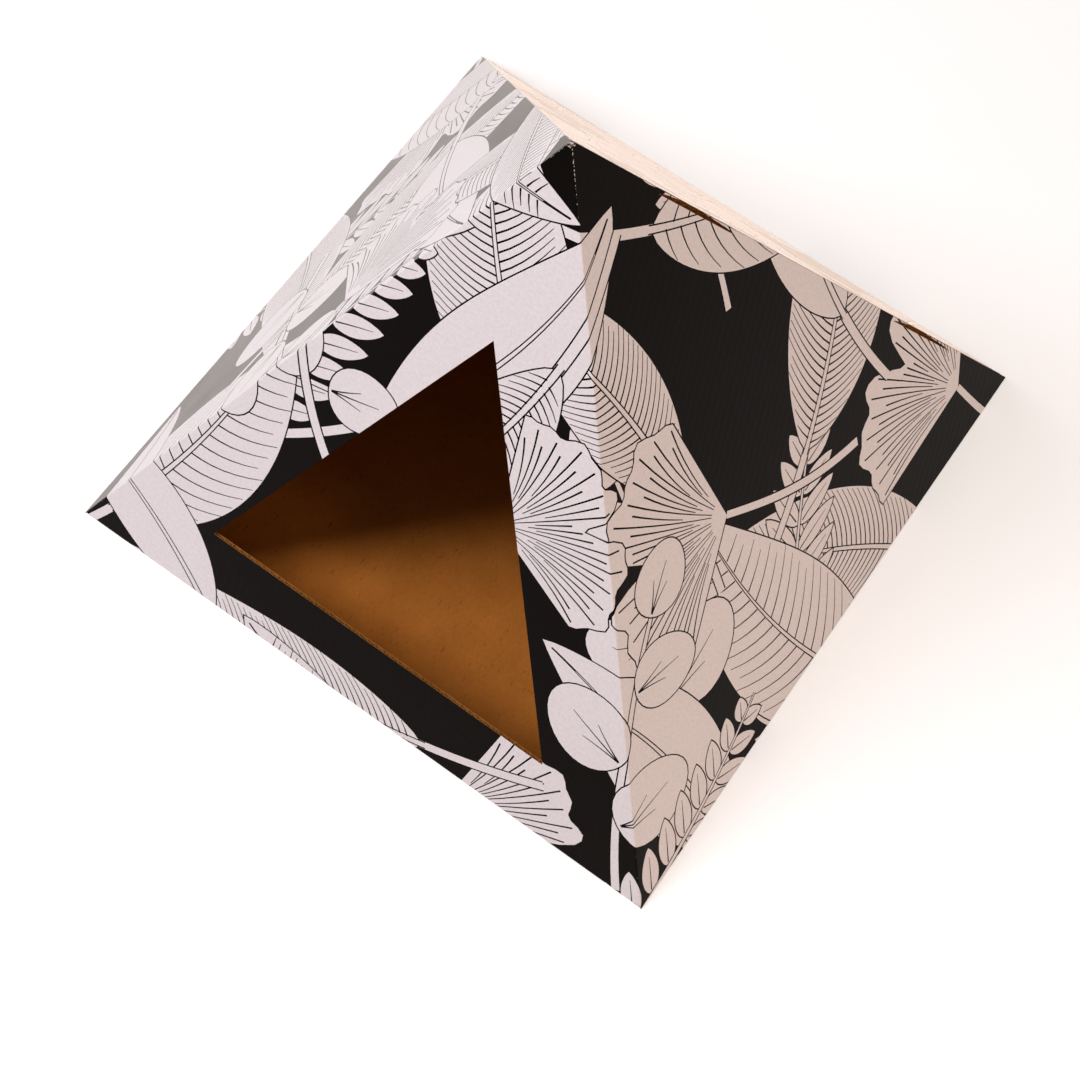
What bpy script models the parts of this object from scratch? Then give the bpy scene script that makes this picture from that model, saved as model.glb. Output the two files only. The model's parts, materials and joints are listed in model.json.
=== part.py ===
# Pyramid cat house, folded from printed corrugated board. Metres, +Z up.
# The origin is the middle of the base on the ground, and the doorway faces -Y.
#
# One die-cut blank makes the house. Its walls fan out from the peak in the order right, front, left
# and back, with the floor creased to the foot of the front wall. The fan closes at one seam, between
# the back wall and the right wall: closing flaps on the back wall lie under the right wall, and two
# lock tabs on the right wall fold in between them. The floor's own flaps stand inside the other walls.
# Every panel and flap is a solid bounded by planes: its two liners, its mitred creases and its cut edges.

import math

import bmesh
import bpy
from mathutils import Matrix, Vector

# Driving dimensions
BASE_SIDE = 0.480
HEIGHT = 0.407
BOARD = 0.003  # thickness of the corrugated board
PEAK_CUT = 0.002  # height lost where the peak is blunted

# Folds
FOLD_RADIUS = 0.0014  # of the outer liner over a crease
FOLD_STEPS = 3  # facets from a panel's face to the middle of a fold
CREASE_GAP = 0.0003  # between two panels along their mitre
LAYER_GAP = 0.0003  # between a flap and the wall that it lies against

# Doorway, an upright triangle inside the front wall
DOOR_SILL = 0.0604  # from the base edge, up the slope
DOOR_MARGIN = 0.0640  # from each sloping edge, square to it

# Closing seam
CLOSING_FLAP_WIDTH = 0.032
CLOSING_FLAP_FROM_PEAK = 0.052  # along the seam
CLOSING_FLAP_FROM_BASE = 0.036
CLOSING_FLAP_TAPER = math.radians(18)
CLOSING_FLAP_RAY = math.radians(15)  # from the seam, at the peak: further out, a flap would jam as it opens
LOCK_TAB_WIDTH = 0.078
LOCK_TAB_LENGTH = 0.016
LOCK_TAB_SETBACK = 0.0028  # from the seam to the crease of the tab
LOCK_TAB_FROM_PEAK = 0.122  # to the middle of the upper tab
LOCK_TAB_FROM_BASE = 0.131  # to the middle of the lower tab
LOCK_TAB_TAPER = math.radians(14)
LOCK_TAB_SIDE_GAP = 0.002  # to the closing flap beside it
NOTCH_SIDE_GAP = 0.0005  # from a tab to the side of its notch

# Flaps on the floor panel
FLOOR_FLAP_HEIGHT = 0.055  # up the slope of the wall
FLOOR_FLAP_END = 0.045  # from the corner of the wall to the end of the crease
FLOOR_FLAP_TAPER = math.radians(45)

CUT_REACH = 0.010  # how far a cutter stands clear of the board
SHARP_ANGLE = math.radians(25)

PRINTED_BOARD = {"color": (0.66, 0.62, 0.61, 1), "roughness": 0.42}
KRAFT_BOARD = {"color": (0.38, 0.22, 0.11, 1), "roughness": 0.80}

# Places that follow from the sizes above
HALF_SIDE = BASE_SIDE / 2
UP = Vector((0, 0, 1))
PEAK = UP * HEIGHT
BLUNTED_PEAK = (UP * (HEIGHT - PEAK_CUT), UP)
GROUND = (Vector(), -UP)


class Wall:
    """One sloping face of the pyramid. Left and right are as seen from outside."""

    def __init__(self, facing):
        self.foot = facing * HALF_SIDE
        self.along = UP.cross(facing)
        self.slope = (PEAK - self.foot).normalized()
        self.normal = self.along.cross(self.slope)
        self.left_corner = self.foot - self.along * HALF_SIDE
        self.right_corner = self.foot + self.along * HALF_SIDE

    def liners(self, depth=0.0):
        """The outer and inner plane of a board that lies this deep below the wall's outer face."""
        outer = (self.foot - self.normal * depth, self.normal)
        inner = (self.foot - self.normal * (depth + BOARD), -self.normal)
        return [outer, inner]


FRONT = Wall(Vector((0, -1, 0)))
RIGHT = Wall(Vector((1, 0, 0)))
BACK = Wall(Vector((0, 1, 0)))
LEFT = Wall(Vector((-1, 0, 0)))

# Directions at the seam: down it, into the right wall along its face, and into the house
SEAM_DOWN = (RIGHT.right_corner - PEAK).normalized()
SEAM_IN = SEAM_DOWN.cross(RIGHT.normal)
SEAM_DEEP = -RIGHT.normal
SEAM_LENGTH = (RIGHT.right_corner - PEAK).length

FLAP_DEPTH = BOARD + LAYER_GAP


def solid_between(planes):
    """The convex solid behind every plane, each a point and an outward normal."""
    shape = bmesh.new()
    bmesh.ops.create_cube(shape, size=4 * max(BASE_SIDE, HEIGHT))
    for point, normal in planes:
        whole = shape.verts[:] + shape.edges[:] + shape.faces[:]
        cut = bmesh.ops.bisect_plane(
            shape, geom=whole, dist=1e-7, plane_co=point, plane_no=normal, clear_outer=True
        )
        rim = [item for item in cut["geom_cut"] if isinstance(item, bmesh.types.BMEdge)]
        open_rim = [edge for edge in rim if edge.is_boundary]
        if open_rim:
            bmesh.ops.edgeloop_fill(shape, edges=open_rim)
    bmesh.ops.remove_doubles(shape, verts=shape.verts[:], dist=1e-6)
    bmesh.ops.recalc_face_normals(shape, faces=shape.faces[:])
    return shape


def mitre(arris, own, other):
    """The plane that ends a board at a crease, midway between its own outer normal and the next one's."""
    toward = (other - own).normalized()
    return (arris - toward * CREASE_GAP / 2, toward)


def crease(arris, own, other):
    """The planes that end a board at a crease: the mitre, and the round of the outer liner over it."""
    planes = [mitre(arris, own, other)]
    half_turn = own.angle(other) / 2
    to_centre = FOLD_RADIUS / math.cos(half_turn)
    centre = arris - (own + other).normalized() * to_centre
    for step in range(1, FOLD_STEPS + 1):
        turn = Matrix.Rotation(half_turn * step / FOLD_STEPS, 3, own.cross(other))
        normal = turn @ own
        planes.append((centre + normal * FOLD_RADIUS, normal))
    return planes


def board_material(name, look):
    material = bpy.data.materials.new(name)
    material.use_nodes = True
    shader = material.node_tree.nodes["Principled BSDF"]
    shader.inputs["Base Color"].default_value = look["color"]
    shader.inputs["Roughness"].default_value = look["roughness"]
    shader.inputs["Metallic"].default_value = 0.0
    material.diffuse_color = look["color"]
    return material


def add_object(name, shape, pivot, parent):
    """Links the shape with its origin at the pivot, which lies on the crease that it turns about."""
    bmesh.ops.translate(shape, verts=shape.verts[:], vec=-pivot)
    mesh = bpy.data.meshes.new(name)
    shape.to_mesh(mesh)
    shape.free()
    piece = bpy.data.objects.new(name, mesh)
    bpy.context.scene.collection.objects.link(piece)
    piece.location = pivot
    if parent:
        piece.parent = parent
        piece.matrix_parent_inverse = Matrix.Translation(parent["pivot"]).inverted()
    piece["pivot"] = pivot
    return piece


def add_panel(name, planes, material, pivot, parent=None):
    panel = add_object(name, solid_between(planes), pivot, parent)
    panel.data.materials.append(material)
    panel.data.shade_smooth()
    panel.data.set_sharp_from_angle(angle=SHARP_ANGLE)
    return panel


def cut_away(panel, name, planes):
    """Cuts the solid between the planes out of the panel."""
    cutter = add_object(name, solid_between(planes), Vector(), None)
    cutter.hide_render = True
    cutter.display_type = "WIRE"
    cut = panel.modifiers.new(name, "BOOLEAN")
    cut.operation = "DIFFERENCE"
    cut.solver = "EXACT"
    cut.object = cutter


def front_panel(material):
    planes = FRONT.liners() + [BLUNTED_PEAK]
    planes += crease(PEAK, FRONT.normal, RIGHT.normal)
    planes += crease(PEAK, FRONT.normal, LEFT.normal)
    planes += crease(FRONT.foot, FRONT.normal, -UP)
    panel = add_panel("front_panel", planes, material, FRONT.foot)

    doorway = [
        (FRONT.foot + FRONT.slope * DOOR_SILL, -FRONT.slope),
        (FRONT.foot + FRONT.normal * CUT_REACH, FRONT.normal),
        (FRONT.foot - FRONT.normal * (BOARD + CUT_REACH), -FRONT.normal),
    ]
    for sloping_edge in (FRONT.left_corner - PEAK, PEAK - FRONT.right_corner):
        inward = FRONT.normal.cross(sloping_edge).normalized()
        doorway.append((PEAK + inward * DOOR_MARGIN, -inward))
    cut_away(panel, "doorway", doorway)
    return panel


def lock_tab_places():
    """How far down the seam the middle of each lock tab lies."""
    return {
        "upper": LOCK_TAB_FROM_PEAK,
        "lower": SEAM_LENGTH - LOCK_TAB_FROM_BASE,
    }


def right_panel(material, front):
    planes = RIGHT.liners() + [BLUNTED_PEAK, GROUND]
    planes += crease(PEAK, RIGHT.normal, FRONT.normal)
    planes.append((PEAK, -SEAM_IN))
    panel = add_panel("right_panel", planes, material, RIGHT.left_corner, front)

    # At each tab the wall ends on the mitre of the tab's crease, a little short of the seam
    tab_crease = PEAK + SEAM_IN * LOCK_TAB_SETBACK
    point, toward = mitre(tab_crease, RIGHT.normal, -SEAM_IN)
    for place, middle in lock_tab_places().items():
        reach = LOCK_TAB_WIDTH / 2 + NOTCH_SIDE_GAP
        notch = [
            (point, -toward),
            (PEAK - SEAM_IN * CUT_REACH, -SEAM_IN),
            (PEAK + RIGHT.normal * CUT_REACH, RIGHT.normal),
            (PEAK - RIGHT.normal * (BOARD + CUT_REACH), -RIGHT.normal),
            (PEAK + SEAM_DOWN * (middle - reach), -SEAM_DOWN),
            (PEAK + SEAM_DOWN * (middle + reach), SEAM_DOWN),
        ]
        cut_away(panel, "notch_" + place, notch)
    return panel


def lock_tab(place, middle, material, right):
    """A tab on the right wall's seam edge, folded square into the house between two closing flaps."""
    tab_crease = PEAK + SEAM_IN * LOCK_TAB_SETBACK
    narrowing = SEAM_DEEP * math.sin(LOCK_TAB_TAPER)
    sideways = SEAM_DOWN * math.cos(LOCK_TAB_TAPER)
    upper_end = tab_crease + SEAM_DOWN * (middle - LOCK_TAB_WIDTH / 2)
    lower_end = tab_crease + SEAM_DOWN * (middle + LOCK_TAB_WIDTH / 2)
    planes = [
        (tab_crease, -SEAM_IN),
        (tab_crease + SEAM_IN * BOARD, SEAM_IN),
        mitre(tab_crease, -SEAM_IN, RIGHT.normal),
        (tab_crease + SEAM_DEEP * LOCK_TAB_LENGTH, SEAM_DEEP),
        (upper_end, narrowing - sideways),
        (lower_end, narrowing + sideways),
    ]
    pivot = tab_crease + SEAM_DOWN * middle
    return add_panel("lock_tab_" + place, planes, material, pivot, right)


def left_panel(material, front):
    planes = LEFT.liners() + [BLUNTED_PEAK, GROUND]
    planes += crease(PEAK, LEFT.normal, FRONT.normal)
    planes += crease(PEAK, LEFT.normal, BACK.normal)
    return add_panel("left_panel", planes, material, LEFT.right_corner, front)


def closing_crease():
    """A point on the crease of the closing flaps, where they turn off the back wall under the right one."""
    across = -FLAP_DEPTH * BACK.normal.dot(SEAM_DEEP) / BACK.normal.dot(SEAM_IN)
    return PEAK + SEAM_DEEP * FLAP_DEPTH + SEAM_IN * across


def back_panel(material, left):
    planes = BACK.liners() + [BLUNTED_PEAK, GROUND]
    planes += crease(PEAK, BACK.normal, LEFT.normal)
    planes += crease(closing_crease(), BACK.normal, RIGHT.normal)
    return add_panel("back_panel", planes, material, BACK.right_corner, left)


def closing_flap_spans():
    """Where each closing flap starts and ends down the seam: they fill it, apart from the lock tabs."""
    room = LOCK_TAB_WIDTH / 2 + LOCK_TAB_SIDE_GAP
    tabs = lock_tab_places()
    return {
        "upper": (CLOSING_FLAP_FROM_PEAK, tabs["upper"] - room),
        "middle": (tabs["upper"] + room, tabs["lower"] - room),
        "lower": (tabs["lower"] + room, SEAM_LENGTH - CLOSING_FLAP_FROM_BASE),
    }


def closing_flap(place, start, end, material, back):
    """A flap on the back wall's seam edge that lies flat under the right wall."""
    fold = closing_crease()
    narrowing = SEAM_IN * math.sin(CLOSING_FLAP_TAPER)
    sideways = SEAM_DOWN * math.cos(CLOSING_FLAP_TAPER)
    planes = RIGHT.liners(FLAP_DEPTH) + crease(fold, RIGHT.normal, BACK.normal)
    ray = SEAM_IN * math.cos(CLOSING_FLAP_RAY) - SEAM_DOWN * math.sin(CLOSING_FLAP_RAY)
    planes += [
        (fold + SEAM_IN * CLOSING_FLAP_WIDTH, SEAM_IN),
        (fold, ray),
        (fold + SEAM_DOWN * start, narrowing - sideways),
        (fold + SEAM_DOWN * end, narrowing + sideways),
    ]
    pivot = fold + SEAM_DOWN * (start + end) / 2
    return add_panel("closing_flap_" + place, planes, material, pivot, back)


def floor_crease(wall):
    """The foot of the layer inside a wall, where the floor's underside turns up into its flap."""
    inward = FLAP_DEPTH / wall.normal.dot(wall.foot.normalized())
    return wall.foot - wall.foot.normalized() * inward


def floor_panel(material, front):
    planes = [GROUND, (UP * BOARD, UP)]
    planes += crease(FRONT.foot, -UP, FRONT.normal)
    for wall in (LEFT, RIGHT, BACK):
        planes += crease(floor_crease(wall), -UP, wall.normal)
    return add_panel("floor_panel", planes, material, FRONT.foot, front)


def floor_flap(place, wall, material, floor):
    """A flap of the floor that stands against the inside of a wall, mitred at both ends."""
    foot = floor_crease(wall)
    narrowing = wall.slope * math.sin(FLOOR_FLAP_TAPER)
    sideways = wall.along * math.cos(FLOOR_FLAP_TAPER)
    end = wall.along * (HALF_SIDE - FLOOR_FLAP_END)
    planes = wall.liners(FLAP_DEPTH) + crease(foot, wall.normal, -UP)
    planes += [
        (foot + wall.slope * FLOOR_FLAP_HEIGHT, wall.slope),
        (foot - end, narrowing - sideways),
        (foot + end, narrowing + sideways),
    ]
    return add_panel("floor_flap_" + place, planes, material, foot, floor)


def build():
    for old in list(bpy.data.objects):
        bpy.data.objects.remove(old)
    printed = board_material("printed_board", PRINTED_BOARD)
    kraft = board_material("kraft_board", KRAFT_BOARD)

    front = front_panel(printed)
    right = right_panel(printed, front)
    left = left_panel(printed, front)
    back = back_panel(printed, left)
    for place, (start, end) in closing_flap_spans().items():
        closing_flap(place, start, end, kraft, back)
    for place, middle in lock_tab_places().items():
        lock_tab(place, middle, kraft, right)
    floor = floor_panel(kraft, front)
    for place, wall in (("left", LEFT), ("right", RIGHT), ("back", BACK)):
        floor_flap(place, wall, kraft, floor)


build()
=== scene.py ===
import json
import math
import random

import bmesh
import bpy
import numpy as np
from mathutils import Matrix, Vector
from mathutils.geometry import delaunay_2d_cdt

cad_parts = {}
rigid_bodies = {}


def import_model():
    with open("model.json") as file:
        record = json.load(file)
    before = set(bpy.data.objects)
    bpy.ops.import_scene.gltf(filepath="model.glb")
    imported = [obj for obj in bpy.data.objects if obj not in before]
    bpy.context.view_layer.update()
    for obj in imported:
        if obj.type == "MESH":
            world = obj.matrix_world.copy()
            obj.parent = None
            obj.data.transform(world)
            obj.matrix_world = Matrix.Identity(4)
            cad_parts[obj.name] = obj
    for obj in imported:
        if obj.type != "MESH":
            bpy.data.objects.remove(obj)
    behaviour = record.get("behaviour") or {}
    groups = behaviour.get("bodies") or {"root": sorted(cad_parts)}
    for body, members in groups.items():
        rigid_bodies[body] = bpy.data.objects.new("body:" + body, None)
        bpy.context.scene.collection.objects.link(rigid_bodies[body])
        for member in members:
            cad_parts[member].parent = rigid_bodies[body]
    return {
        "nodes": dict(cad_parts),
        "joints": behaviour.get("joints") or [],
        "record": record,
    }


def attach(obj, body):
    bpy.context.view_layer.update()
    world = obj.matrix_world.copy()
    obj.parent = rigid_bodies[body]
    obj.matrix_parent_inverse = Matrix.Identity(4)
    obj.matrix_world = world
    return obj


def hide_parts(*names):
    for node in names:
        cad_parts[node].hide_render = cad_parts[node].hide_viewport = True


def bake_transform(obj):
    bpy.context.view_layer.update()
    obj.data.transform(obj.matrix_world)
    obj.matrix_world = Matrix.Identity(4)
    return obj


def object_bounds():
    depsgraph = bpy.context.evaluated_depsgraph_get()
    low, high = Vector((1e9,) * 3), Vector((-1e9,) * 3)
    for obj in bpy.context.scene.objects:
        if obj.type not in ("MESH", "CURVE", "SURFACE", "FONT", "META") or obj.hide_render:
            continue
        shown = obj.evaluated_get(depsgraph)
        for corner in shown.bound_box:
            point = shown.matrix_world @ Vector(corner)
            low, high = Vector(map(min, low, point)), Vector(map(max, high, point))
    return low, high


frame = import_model()
cadLow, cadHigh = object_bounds()

# The house is dressed as it is made: each board is drawn on the flat blank, then folded to its place.
# On the blank x runs to the right, y up the front wall and z out of the printed side. Sizes are in metres.

boardLook = {
    "thickness": 0.003,
    "liner": 0.00035,
    "flutePitch": 0.0064,
    "fluteSteps": 8,
    "medium": 0.00022,
}
skin = 2e-5     # how far a point may lie off a board's face and still count as on it


def toLinear(hexColour):
    channels = [int(hexColour[i:i + 2], 16) / 255 for i in (1, 3, 5)]
    return [c / 12.92 if c <= 0.04045 else ((c + 0.055) / 1.055) ** 2.4 for c in channels] + [1.0]


def addNode(tree, kind, settings=None, links=None, **inputs):
    # inputs are values by name, links the sockets to join by the input's name or number
    node = tree.nodes.new(kind)
    for name, value in (settings or {}).items():
        setattr(node, name, value)
    for name, value in inputs.items():
        node.inputs[name.replace("_", " ")].default_value = value
    for name, socket in (links or {}).items():
        tree.links.new(socket, node.inputs[name])
    return node


def addPiece(name, mesh, slot, body=None):
    piece = bpy.data.objects.new(name, mesh)
    bpy.context.scene.collection.objects.link(piece)
    if body:
        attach(piece, body)
    return piece


def area(loop):
    x, y = loop[:, 0], loop[:, 1]
    return 0.5 * float((x * np.roll(y, -1) - np.roll(x, -1) * y).sum())


def cornersOf(edges):
    # closed loops of (x, y) through these edges, corners only, anticlockwise, the largest first
    ahead = {}
    for edge in edges:
        for a, b in (edge.verts, reversed(edge.verts)):
            ahead.setdefault(a, []).append(b)
    loops, seen = [], set()
    for start in ahead:
        loop, here = [], start
        while here is not None and here not in seen:
            seen.add(here)
            loop.append((here.co.x, here.co.y))
            here = next((v for v in ahead[here] if v not in seen), None)
        if len(loop) < 3:
            continue
        loop = np.array(loop)
        after, before = np.roll(loop, -1, axis=0) - loop, loop - np.roll(loop, 1, axis=0)
        bend = np.abs(after[:, 0] * before[:, 1] - after[:, 1] * before[:, 0])
        size = np.linalg.norm(after, axis=1) * np.linalg.norm(before, axis=1)
        loop = loop[bend > 1e-3 * np.maximum(size, 1e-12)]
        loops.append(loop if area(loop) > 0 else loop[::-1])
    return sorted(loops, key=lambda loop: -abs(area(loop)))


class Board:
    # one panel or flap: its CAD node, the body that it rides on and where it lies on the blank
    def __init__(self, node, body):
        self.node, self.body = node, body
        sides = {}
        for face in frame["nodes"][node].data.polygons:
            key = tuple(round(c, 2) + 0.0 for c in face.normal)
            size, normal, middle = sides.get(key, (0, Vector(), Vector()))
            share = face.area
            sides[key] = (size + share, normal + face.normal * share, middle + face.center * share)
        largest = sorted(sides.values(), key=lambda side: -side[0])[:2]
        houseMiddle = Vector((0, 0, cadHigh[2] / 3))
        faces = [(normal.normalized(), middle / size) for size, normal, middle in largest]
        self.normal, self.point = max(faces, key=lambda face: face[0].dot(face[1] - houseMiddle))

    def solid(self):
        # the CAD solid, unfolded onto the blank
        shape = bmesh.new()
        shape.from_mesh(frame["nodes"][self.node].data)
        bmesh.ops.remove_doubles(shape, verts=shape.verts[:], dist=2e-6)
        shape.transform(self.toSheet)
        shape.normal_update()
        return shape

    def cut(self, shape, level, keepAbove):
        found = bmesh.ops.bisect_plane(
            shape, geom=shape.verts[:] + shape.edges[:] + shape.faces[:], dist=1e-8, plane_co=(0, 0, level),
            plane_no=(0, 0, 1), clear_outer=not keepAbove, clear_inner=keepAbove,
        )
        return [item for item in found["geom_cut"] if isinstance(item, bmesh.types.BMEdge)]

    def outline(self, depth):
        # the board's outline at this depth below its outer face
        shape = self.solid()
        loops = cornersOf(self.cut(shape, -depth, False))
        shape.free()
        return loops

    def face(self, level):
        # the outline of the flat face at this level
        shape = self.solid()
        flat = lambda face: abs(face.normal.z) > 0.9999 and abs(face.calc_center_median().z - level) < skin
        loops = cornersOf([e for e in shape.edges if sum(map(flat, e.link_faces)) == 1])
        shape.free()
        return loops

    def isTop(self, face):
        return face.normal.z > 0.9999 and abs(face.calc_center_median().z) < skin


bodies = frame["record"]["behaviour"]["bodies"]
boards = {body: Board(nodes[0], body) for body, nodes in bodies.items()}
joints = {joint["child"]: joint for joint in frame["joints"]}

front = boards["front_wall"]
upFront = front.normal.cross(Vector((1, 0, 0)))
frontFoot = Vector((0, front.normal.dot(front.point) / front.normal.y, 0))
front.toSheet = Matrix(((1, 0, 0), upFront, front.normal)).to_4x4() @ Matrix.Translation(-frontFoot)
for body, joint in joints.items():
    child, parent, pivot = boards[body], boards[joint["parent"]], Vector(joint["pos_m"])
    unfold = Matrix.Rotation(parent.normal.angle(child.normal), 4, Vector(joint["axis"]))
    child.toSheet = parent.toSheet @ Matrix.Translation(pivot) @ unfold @ Matrix.Translation(-pivot)

foldFoot = front.toSheet @ Vector(joints["right_wall"]["pos_m"])
foldWay = front.toSheet.to_3x3() @ Vector(joints["right_wall"]["axis"])
peak = np.array([0.0, foldFoot.y - foldWay.y * foldFoot.x / foldWay.x])
print("blank: peak %.4f m above the front foot" % peak[1])


# The print, on the blank from the peak. Each layer is a closed outline and its tone, the last one on top.

printLook = {
    "outline": 0.0010,
    "vein": 0.0013,
    "veinTip": 0.0005,
    "veinSpacing": 0.0058,
    "discSize": 0.062,
    "leafletSpacing": 0.0225,
}
# a stalk or rib is pale between two ink lines: the width of its ink and of its paper, each at root and end
lineLook = {
    "leafStalk": ((0.0084, 0.0084), (0.0064, 0.0064)),
    "leafRib": ((0.0062, 0.0014), (0.0042, 0.0004)),
    "fanStalk": ((0.0090, 0.0078), (0.0068, 0.0052)),
    "fernRib": ((0.0072, 0.0026), (0.0050, 0.0011)),
    "sprigStem": ((0.0084, 0.0048), (0.0062, 0.0030)),
}


def turned(points, heading, place):
    c, s = math.cos(heading), math.sin(heading)
    return points @ np.array([[c, s], [-s, c]]) + place


def band(line, widths):
    # a line of varying width as a closed outline
    line = np.asarray(line, float)
    along = np.gradient(line, axis=0)
    along /= np.linalg.norm(along, axis=1)[:, None]
    side = np.stack([-along[:, 1], along[:, 0]], 1) * (np.asarray(widths, float) / 2)[:, None]
    return np.vstack([line + side, (line - side)[::-1]])


def doubleLine(line, kind, short=0):
    # the paper may stop some points short of the ink
    (inkStart, inkEnd), (paperStart, paperEnd) = lineLook[kind]
    count = len(line) - short
    return [
        (band(line, np.linspace(inkStart, inkEnd, len(line))), "ink"),
        (band(line[:count], np.linspace(paperStart, paperEnd, count)), "paper"),
    ]


def grown(outline, by):
    # the outline moved out by this much, along the bisectors of its corners
    ahead = np.roll(outline, -1, axis=0) - outline
    ahead /= np.maximum(np.linalg.norm(ahead, axis=1), 1e-9)[:, None]
    out = np.stack([ahead[:, 1], -ahead[:, 0]], 1)
    corner = out + np.roll(out, 1, axis=0)
    corner /= np.maximum((corner * out).sum(1), 0.35)[:, None]
    return outline + corner * by


def bent(points, bend, length):
    # a shape drawn along +x, curled so that its far end has turned by bend
    if abs(bend) < 1e-4:
        return points
    radius = length / bend
    angle = points[:, 0] / radius
    reach = radius - points[:, 1]
    return np.stack([reach * np.sin(angle), radius - reach * np.cos(angle)], 1)


def leafHalf(u, fullness=0.85):
    # half the width of a leaf for a width of 2, from its base at 0 to its tip at 1
    return np.sin(np.pi * u ** (0.75 + 0.1 * fullness)) ** fullness


def closedLeaf(length, width, steps, fullness=0.85):
    u = np.linspace(0, 1, steps)
    half = width / 2 * leafHalf(u, fullness)
    return np.vstack([np.stack([u * length, -half], 1), np.stack([u * length, half], 1)[::-1][1:-1]])


def lensLeaf(length, width, bend, veins, stalk=0.35):
    line = np.stack([np.linspace(-stalk * length, 0.02 * length, 14), np.zeros(14)], 1)
    edge = closedLeaf(length, width, 40)
    rib = np.stack([np.linspace(-0.01, 0.97, 24) * length, np.zeros(24)], 1)
    layers = doubleLine(line, "leafStalk")
    layers += [(grown(edge, printLook["outline"]), "ink"), (edge, "paper")]
    layers += doubleLine(rib, "leafRib", 2)
    # the side veins leave the rib by turns, lean towards the tip and stop short of the edge
    step = printLook["veinSpacing"] * veins
    for side in (-1, 1) if veins else ():
        for k in range(1, int(length / step)):
            root = k * step + (0.5 * step if side > 0 else 0)
            t = np.linspace(0, 1, 9)
            reach = 0.62 * width
            x = root + reach * (0.35 * t + 0.55 * t * t)
            y = reach * t
            inside = (y < width / 2 * leafHalf(np.clip(x / length, 0, 1)) - 0.0009) & (x < length * 0.985)
            keep = inside.sum()
            if keep < 3:
                continue
            vein = np.stack([x[:keep], side * (y[:keep] + 0.0016)], 1)
            layers.append((band(vein, np.linspace(printLook["vein"], printLook["veinTip"], keep)), "ink"))
    return [(bent(points, bend, length), tone) for points, tone in layers]


def ginkgoFan(radius, spread, stalk):
    # the rim has a notch in its middle, ripples, and rounded ends
    a = np.linspace(-spread / 2, spread / 2, 46)
    notch = 0.34 * np.exp(-(a / 0.09) ** 2)
    ripple = 0.035 * np.sin(a * 13) + 0.02 * np.sin(a * 29 + 1)
    rim = radius * (1 - notch + ripple) * (1 - 0.12 * (np.abs(a) / (spread / 2)) ** 6)
    edge = np.vstack([[[0.0, 0.0]], np.stack([rim * np.cos(a), rim * np.sin(a)], 1)])
    t = np.linspace(0, 1, 14)
    line = np.stack([-stalk * (1 - t), 0.10 * stalk * np.sin(2.4 * (1 - t))], 1)
    wide, pale = doubleLine(line, "fanStalk")
    layers = [wide, (grown(edge, printLook["outline"]), "ink"), pale, (edge, "paper")]
    count = int(radius * spread / printLook["veinSpacing"] / 1.3)
    for k in range(count):
        b = -spread / 2 + spread * (k + 0.5) / count
        inner = 0.14 + 0.16 * (k % 2) + 0.10 * (k % 3 == 0)
        outer = np.interp(b, a, rim / radius) - (0.05 + 0.12 * (k % 2))
        t = np.linspace(0, 1, 6)
        r = radius * (inner + (outer - inner) * t)
        swing = b * (0.86 + 0.14 * t)
        line = np.stack([r * np.cos(swing), r * np.sin(swing)], 1)
        layers.append((band(line, np.linspace(0.0006, printLook["vein"], 6)), "ink"))
    return layers


def fernFrond(length, width, bend):
    layers = []
    count = int(length / printLook["leafletSpacing"])
    for k in range(count):
        at = (k + 1.2) / (count + 1.2)
        size = width / 2 * math.sin(math.pi * (0.16 + 0.80 * at)) ** 0.7
        edge = closedLeaf(size, 0.0166 * (0.6 + 0.8 * size / width), 14, 0.75)
        crease = np.stack([np.linspace(0.08, 0.8, 9) * size, np.zeros(9)], 1)
        for side in (-1, 1):
            lean, place = side * math.radians(62 - 22 * at), np.array([at * length, side * 0.0008])
            layers.append((turned(grown(edge, printLook["outline"]), lean, place), "ink"))
            layers.append((turned(edge, lean, place), "paper"))
            layers.append((turned(band(crease, np.linspace(0.0011, 0.0004, 9)), lean, place), "ink"))
    rib = np.stack([np.linspace(-0.1, 1, 26) * length, np.zeros(26)], 1)
    layers += doubleLine(rib, "fernRib")
    return [(bent(points, bend, length), tone) for points, tone in layers]


def roundSprig(length, size, bend):
    t = np.linspace(-0.1, 1, 24)
    stem = np.stack([t * length, np.zeros(24)], 1)
    layers = doubleLine(stem, "sprigStem")
    a = np.linspace(0, 2 * np.pi, 31)[:-1]
    count = max(3, int(length / (0.80 * size)))
    for k in range(count + 1):
        at, side = ((k + 0.7) / (count + 0.7), 1 if k % 2 else -1) if k < count else (1.0, 0)
        s = size * (1.12 - 0.35 * at)
        edge = np.stack([s * 0.54 * (1 + np.cos(a)), s * 0.47 * np.sin(a) * (1 - 0.12 * np.cos(a))], 1)
        lean, place = side * math.radians(58), np.array([at * length, side * 0.0015])
        layers.append((turned(grown(edge, printLook["outline"]), lean, place), "ink"))
        layers.append((turned(edge, lean, place), "paper"))
        for slope, reach in ((0, 0.78), (0.55, 0.5), (-0.55, 0.5)):
            u = np.linspace(0.04, reach, 6)
            line = np.stack([u, u ** 1.3 * math.tan(slope) * 0.55], 1) * s
            layers.append((turned(band(line, np.linspace(0.0012, 0.0005, 6)), lean, place), "ink"))
    return [(bent(points, bend, length), tone) for points, tone in layers]


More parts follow.
